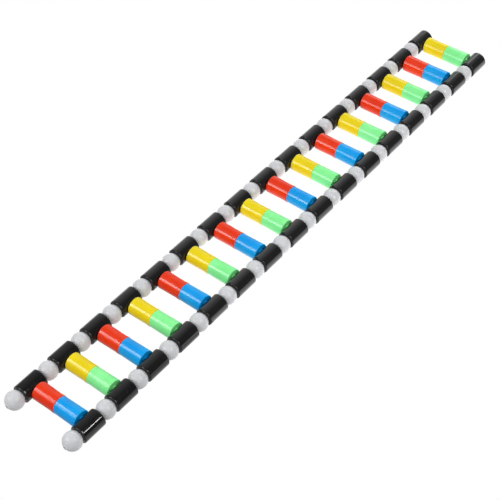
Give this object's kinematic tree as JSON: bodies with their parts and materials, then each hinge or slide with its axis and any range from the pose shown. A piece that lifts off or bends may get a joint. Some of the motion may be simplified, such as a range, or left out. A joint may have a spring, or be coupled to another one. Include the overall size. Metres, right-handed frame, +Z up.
{
  "type": "twisting ladder model",
  "caption": "Flat plug-together ladder of black tubes, white balls and two-colour rungs that twists along its length into a double helix.",
  "frame": {"origin": "under the middle of the ladder, on the surface that its tubes and balls rest on", "axes": "+Y along the ladder from the ball ends to the pin ends, +X from the left rail to the right rail, +Z up"},
  "size_m": [0.0684, 0.516, 0.0142],
  "materials": {
    "black": "moulded gloss",
    "white": "moulded gloss",
    "red": "moulded gloss",
    "blue": "moulded gloss",
    "yellow": "moulded gloss",
    "green": "moulded gloss"
  },
  "bodies": {
    "rung_01": {"rung_pair_01": "red"},
    "left_link_body_01": {"left_link_01": "black"},
    "right_link_body_01": {"right_link_01": "black"},
    "rung_02": {"rung_pair_02": "yellow"},
    "left_link_body_02": {"left_link_02": "black"},
    "right_link_body_02": {"right_link_02": "black"},
    "rung_03": {"rung_pair_03": "red"},
    "left_link_body_03": {"left_link_03": "black"},
    "right_link_body_03": {"right_link_03": "black"},
    "rung_04": {"rung_pair_04": "yellow"},
    "left_link_body_04": {"left_link_04": "black"},
    "right_link_body_04": {"right_link_04": "black"},
    "rung_05": {"rung_pair_05": "red"},
    "left_link_body_05": {"left_link_05": "black"},
    "right_link_body_05": {"right_link_05": "black"},
    "rung_06": {"rung_pair_06": "yellow"},
    "left_link_body_06": {"left_link_06": "black"},
    "right_link_body_06": {"right_link_06": "black"},
    "rung_07": {"rung_pair_07": "red"},
    "left_link_body_07": {"left_link_07": "black"},
    "right_link_body_07": {"right_link_07": "black"},
    "rung_08": {"rung_pair_08": "yellow"},
    "left_link_body_08": {"left_link_08": "black"},
    "right_link_body_08": {"right_link_08": "black"},
    "rung_09": {"rung_pair_09": "red"},
    "left_link_body_09": {"left_link_09": "black"},
    "right_link_body_09": {"right_link_09": "black"},
    "rung_10": {"rung_pair_10": "yellow"},
    "left_link_body_10": {"left_link_10": "black"},
    "right_link_body_10": {"right_link_10": "black"},
    "rung_11": {"rung_pair_11": "red"},
    "left_link_body_11": {"left_link_11": "black"},
    "right_link_body_11": {"right_link_11": "black"},
    "rung_12": {"rung_pair_12": "yellow"},
    "left_link_body_12": {"left_link_12": "black"},
    "right_link_body_12": {"right_link_12": "black"},
    "rung_13": {"rung_pair_13": "red"},
    "left_link_body_13": {"left_link_13": "black"},
    "right_link_body_13": {"right_link_13": "black"},
    "rung_14": {"rung_pair_14": "yellow"},
    "left_link_body_14": {"left_link_14": "black"},
    "right_link_body_14": {"right_link_14": "black"},
    "rung_15": {"rung_pair_15": "red"},
    "left_link_body_15": {"left_link_15": "black"},
    "right_link_body_15": {"right_link_15": "black"},
    "rung_16": {"rung_pair_16": "yellow"},
    "left_link_body_16": {"left_link_16": "black"},
    "right_link_body_16": {"right_link_16": "black"}
  },
  "joints": [
    {"name": "twist_08_09", "type": "hinge", "parent": "rung_08", "child": "rung_09", "pos_m": [0, 0.00515, 0.0071], "axis": [0, 1, 0], "range_deg": [-15, 15]},
    {"name": "twist_09_10", "type": "hinge", "parent": "rung_09", "child": "rung_10", "pos_m": [0, 0.03715, 0.0071], "axis": [0, 1, 0], "range_deg": [-15, 15]},
    {"name": "twist_10_11", "type": "hinge", "parent": "rung_10", "child": "rung_11", "pos_m": [0, 0.06915, 0.0071], "axis": [0, 1, 0], "range_deg": [-15, 15]},
    {"name": "twist_11_12", "type": "hinge", "parent": "rung_11", "child": "rung_12", "pos_m": [0, 0.10115, 0.0071], "axis": [0, 1, 0], "range_deg": [-15, 15]},
    {"name": "twist_12_13", "type": "hinge", "parent": "rung_12", "child": "rung_13", "pos_m": [0, 0.13315, 0.0071], "axis": [0, 1, 0], "range_deg": [-15, 15]},
    {"name": "twist_13_14", "type": "hinge", "parent": "rung_13", "child": "rung_14", "pos_m": [0, 0.16515, 0.0071], "axis": [0, 1, 0], "range_deg": [-15, 15]},
    {"name": "twist_14_15", "type": "hinge", "parent": "rung_14", "child": "rung_15", "pos_m": [0, 0.19715, 0.0071], "axis": [0, 1, 0], "range_deg": [-15, 15]},
    {"name": "twist_15_16", "type": "hinge", "parent": "rung_15", "child": "rung_16", "pos_m": [0, 0.22915, 0.0071], "axis": [0, 1, 0], "range_deg": [-15, 15]},
    {"name": "twist_08_07", "type": "hinge", "parent": "rung_08", "child": "rung_07", "pos_m": [0, -0.02685, 0.0071], "axis": [0, 1, 0], "range_deg": [-15, 15]},
    {"name": "twist_07_06", "type": "hinge", "parent": "rung_07", "child": "rung_06", "pos_m": [0, -0.05885, 0.0071], "axis": [0, 1, 0], "range_deg": [-15, 15]},
    {"name": "twist_06_05", "type": "hinge", "parent": "rung_06", "child": "rung_05", "pos_m": [0, -0.09085, 0.0071], "axis": [0, 1, 0], "range_deg": [-15, 15]},
    {"name": "twist_05_04", "type": "hinge", "parent": "rung_05", "child": "rung_04", "pos_m": [0, -0.12285, 0.0071], "axis": [0, 1, 0], "range_deg": [-15, 15]},
    {"name": "twist_04_03", "type": "hinge", "parent": "rung_04", "child": "rung_03", "pos_m": [0, -0.15485, 0.0071], "axis": [0, 1, 0], "range_deg": [-15, 15]},
    {"name": "twist_03_02", "type": "hinge", "parent": "rung_03", "child": "rung_02", "pos_m": [0, -0.18685, 0.0071], "axis": [0, 1, 0], "range_deg": [-15, 15]},
    {"name": "twist_02_01", "type": "hinge", "parent": "rung_02", "child": "rung_01", "pos_m": [0, -0.21885, 0.0071], "axis": [0, 1, 0], "range_deg": [-15, 15]},
    {"name": "left_tilt_01", "type": "hinge", "parent": "rung_01", "child": "left_link_body_01", "pos_m": [-0.0271, -0.23485, 0.0071], "axis": [1, 0, 0], "range_deg": [-13, 13]},
    {"name": "right_tilt_01", "type": "hinge", "parent": "rung_01", "child": "right_link_body_01", "pos_m": [0.0271, -0.23485, 0.0071], "axis": [1, 0, 0], "range_deg": [-13, 13]},
    {"name": "left_tilt_02", "type": "hinge", "parent": "rung_02", "child": "left_link_body_02", "pos_m": [-0.0271, -0.20285, 0.0071], "axis": [1, 0, 0], "range_deg": [-13, 13]},
    {"name": "right_tilt_02", "type": "hinge", "parent": "rung_02", "child": "right_link_body_02", "pos_m": [0.0271, -0.20285, 0.0071], "axis": [1, 0, 0], "range_deg": [-13, 13]},
    {"name": "left_tilt_03", "type": "hinge", "parent": "rung_03", "child": "left_link_body_03", "pos_m": [-0.0271, -0.17085, 0.0071], "axis": [1, 0, 0], "range_deg": [-13, 13]},
    {"name": "right_tilt_03", "type": "hinge", "parent": "rung_03", "child": "right_link_body_03", "pos_m": [0.0271, -0.17085, 0.0071], "axis": [1, 0, 0], "range_deg": [-13, 13]},
    {"name": "left_tilt_04", "type": "hinge", "parent": "rung_04", "child": "left_link_body_04", "pos_m": [-0.0271, -0.13885, 0.0071], "axis": [1, 0, 0], "range_deg": [-13, 13]},
    {"name": "right_tilt_04", "type": "hinge", "parent": "rung_04", "child": "right_link_body_04", "pos_m": [0.0271, -0.13885, 0.0071], "axis": [1, 0, 0], "range_deg": [-13, 13]},
    {"name": "left_tilt_05", "type": "hinge", "parent": "rung_05", "child": "left_link_body_05", "pos_m": [-0.0271, -0.10685, 0.0071], "axis": [1, 0, 0], "range_deg": [-13, 13]},
    {"name": "right_tilt_05", "type": "hinge", "parent": "rung_05", "child": "right_link_body_05", "pos_m": [0.0271, -0.10685, 0.0071], "axis": [1, 0, 0], "range_deg": [-13, 13]},
    {"name": "left_tilt_06", "type": "hinge", "parent": "rung_06", "child": "left_link_body_06", "pos_m": [-0.0271, -0.07485, 0.0071], "axis": [1, 0, 0], "range_deg": [-13, 13]},
    {"name": "right_tilt_06", "type": "hinge", "parent": "rung_06", "child": "right_link_body_06", "pos_m": [0.0271, -0.07485, 0.0071], "axis": [1, 0, 0], "range_deg": [-13, 13]},
    {"name": "left_tilt_07", "type": "hinge", "parent": "rung_07", "child": "left_link_body_07", "pos_m": [-0.0271, -0.04285, 0.0071], "axis": [1, 0, 0], "range_deg": [-13, 13]},
    {"name": "right_tilt_07", "type": "hinge", "parent": "rung_07", "child": "right_link_body_07", "pos_m": [0.0271, -0.04285, 0.0071], "axis": [1, 0, 0], "range_deg": [-13, 13]},
    {"name": "left_tilt_08", "type": "hinge", "parent": "rung_08", "child": "left_link_body_08", "pos_m": [-0.0271, -0.01085, 0.0071], "axis": [1, 0, 0], "range_deg": [-13, 13]},
    {"name": "right_tilt_08", "type": "hinge", "parent": "rung_08", "child": "right_link_body_08", "pos_m": [0.0271, -0.01085, 0.0071], "axis": [1, 0, 0], "range_deg": [-13, 13]},
    {"name": "left_tilt_09", "type": "hinge", "parent": "rung_09", "child": "left_link_body_09", "pos_m": [-0.0271, 0.02115, 0.0071], "axis": [1, 0, 0], "range_deg": [-13, 13]},
    {"name": "right_tilt_09", "type": "hinge", "parent": "rung_09", "child": "right_link_body_09", "pos_m": [0.0271, 0.02115, 0.0071], "axis": [1, 0, 0], "range_deg": [-13, 13]},
    {"name": "left_tilt_10", "type": "hinge", "parent": "rung_10", "child": "left_link_body_10", "pos_m": [-0.0271, 0.05315, 0.0071], "axis": [1, 0, 0], "range_deg": [-13, 13]},
    {"name": "right_tilt_10", "type": "hinge", "parent": "rung_10", "child": "right_link_body_10", "pos_m": [0.0271, 0.05315, 0.0071], "axis": [1, 0, 0], "range_deg": [-13, 13]},
    {"name": "left_tilt_11", "type": "hinge", "parent": "rung_11", "child": "left_link_body_11", "pos_m": [-0.0271, 0.08515, 0.0071], "axis": [1, 0, 0], "range_deg": [-13, 13]},
    {"name": "right_tilt_11", "type": "hinge", "parent": "rung_11", "child": "right_link_body_11", "pos_m": [0.0271, 0.08515, 0.0071], "axis": [1, 0, 0], "range_deg": [-13, 13]},
    {"name": "left_tilt_12", "type": "hinge", "parent": "rung_12", "child": "left_link_body_12", "pos_m": [-0.0271, 0.11715, 0.0071], "axis": [1, 0, 0], "range_deg": [-13, 13]},
    {"name": "right_tilt_12", "type": "hinge", "parent": "rung_12", "child": "right_link_body_12", "pos_m": [0.0271, 0.11715, 0.0071], "axis": [1, 0, 0], "range_deg": [-13, 13]},
    {"name": "left_tilt_13", "type": "hinge", "parent": "rung_13", "child": "left_link_body_13", "pos_m": [-0.0271, 0.14915, 0.0071], "axis": [1, 0, 0], "range_deg": [-13, 13]},
    {"name": "right_tilt_13", "type": "hinge", "parent": "rung_13", "child": "right_link_body_13", "pos_m": [0.0271, 0.14915, 0.0071], "axis": [1, 0, 0], "range_deg": [-13, 13]},
    {"name": "left_tilt_14", "type": "hinge", "parent": "rung_14", "child": "left_link_body_14", "pos_m": [-0.0271, 0.18115, 0.0071], "axis": [1, 0, 0], "range_deg": [-13, 13]},
    {"name": "right_tilt_14", "type": "hinge", "parent": "rung_14", "child": "right_link_body_14", "pos_m": [0.0271, 0.18115, 0.0071], "axis": [1, 0, 0], "range_deg": [-13, 13]},
    {"name": "left_tilt_15", "type": "hinge", "parent": "rung_15", "child": "left_link_body_15", "pos_m": [-0.0271, 0.21315, 0.0071], "axis": [1, 0, 0], "range_deg": [-13, 13]},
    {"name": "right_tilt_15", "type": "hinge", "parent": "rung_15", "child": "right_link_body_15", "pos_m": [0.0271, 0.21315, 0.0071], "axis": [1, 0, 0], "range_deg": [-13, 13]},
    {"name": "left_tilt_16", "type": "hinge", "parent": "rung_16", "child": "left_link_body_16", "pos_m": [-0.0271, 0.24515, 0.0071], "axis": [1, 0, 0], "range_deg": [-13, 13]},
    {"name": "right_tilt_16", "type": "hinge", "parent": "rung_16", "child": "right_link_body_16", "pos_m": [0.0271, 0.24515, 0.0071], "axis": [1, 0, 0], "range_deg": [-13, 13]}
  ],
  "couplings": [
    {"joint": "twist_09_10", "follows": "twist_08_09", "ratio": 1},
    {"joint": "twist_10_11", "follows": "twist_08_09", "ratio": 1},
    {"joint": "twist_11_12", "follows": "twist_08_09", "ratio": 1},
    {"joint": "twist_12_13", "follows": "twist_08_09", "ratio": 1},
    {"joint": "twist_13_14", "follows": "twist_08_09", "ratio": 1},
    {"joint": "twist_14_15", "follows": "twist_08_09", "ratio": 1},
    {"joint": "twist_15_16", "follows": "twist_08_09", "ratio": 1},
    {"joint": "twist_08_07", "follows": "twist_08_09", "ratio": -1},
    {"joint": "twist_07_06", "follows": "twist_08_09", "ratio": -1},
    {"joint": "twist_06_05", "follows": "twist_08_09", "ratio": -1},
    {"joint": "twist_05_04", "follows": "twist_08_09", "ratio": -1},
    {"joint": "twist_04_03", "follows": "twist_08_09", "ratio": -1},
    {"joint": "twist_03_02", "follows": "twist_08_09", "ratio": -1},
    {"joint": "twist_02_01", "follows": "twist_08_09", "ratio": -1},
    {"joint": "left_tilt_01", "follows": "twist_08_09", "ratio": 0.855},
    {"joint": "right_tilt_01", "follows": "twist_08_09", "ratio": -0.855},
    {"joint": "left_tilt_02", "follows": "twist_08_09", "ratio": 0.855},
    {"joint": "right_tilt_02", "follows": "twist_08_09", "ratio": -0.855},
    {"joint": "left_tilt_03", "follows": "twist_08_09", "ratio": 0.855},
    {"joint": "right_tilt_03", "follows": "twist_08_09", "ratio": -0.855},
    {"joint": "left_tilt_04", "follows": "twist_08_09", "ratio": 0.855},
    {"joint": "right_tilt_04", "follows": "twist_08_09", "ratio": -0.855},
    {"joint": "left_tilt_05", "follows": "twist_08_09", "ratio": 0.855},
    {"joint": "right_tilt_05", "follows": "twist_08_09", "ratio": -0.855},
    {"joint": "left_tilt_06", "follows": "twist_08_09", "ratio": 0.855},
    {"joint": "right_tilt_06", "follows": "twist_08_09", "ratio": -0.855},
    {"joint": "left_tilt_07", "follows": "twist_08_09", "ratio": 0.855},
    {"joint": "right_tilt_07", "follows": "twist_08_09", "ratio": -0.855},
    {"joint": "left_tilt_08", "follows": "twist_08_09", "ratio": 0.855},
    {"joint": "right_tilt_08", "follows": "twist_08_09", "ratio": -0.855},
    {"joint": "left_tilt_09", "follows": "twist_08_09", "ratio": 0.855},
    {"joint": "right_tilt_09", "follows": "twist_08_09", "ratio": -0.855},
    {"joint": "left_tilt_10", "follows": "twist_08_09", "ratio": 0.855},
    {"joint": "right_tilt_10", "follows": "twist_08_09", "ratio": -0.855},
    {"joint": "left_tilt_11", "follows": "twist_08_09", "ratio": 0.855},
    {"joint": "right_tilt_11", "follows": "twist_08_09", "ratio": -0.855},
    {"joint": "left_tilt_12", "follows": "twist_08_09", "ratio": 0.855},
    {"joint": "right_tilt_12", "follows": "twist_08_09", "ratio": -0.855},
    {"joint": "left_tilt_13", "follows": "twist_08_09", "ratio": 0.855},
    {"joint": "right_tilt_13", "follows": "twist_08_09", "ratio": -0.855},
    {"joint": "left_tilt_14", "follows": "twist_08_09", "ratio": 0.855},
    {"joint": "right_tilt_14", "follows": "twist_08_09", "ratio": -0.855},
    {"joint": "left_tilt_15", "follows": "twist_08_09", "ratio": 0.855},
    {"joint": "right_tilt_15", "follows": "twist_08_09", "ratio": -0.855},
    {"joint": "left_tilt_16", "follows": "twist_08_09", "ratio": 0.855},
    {"joint": "right_tilt_16", "follows": "twist_08_09", "ratio": -0.855}
  ]
}
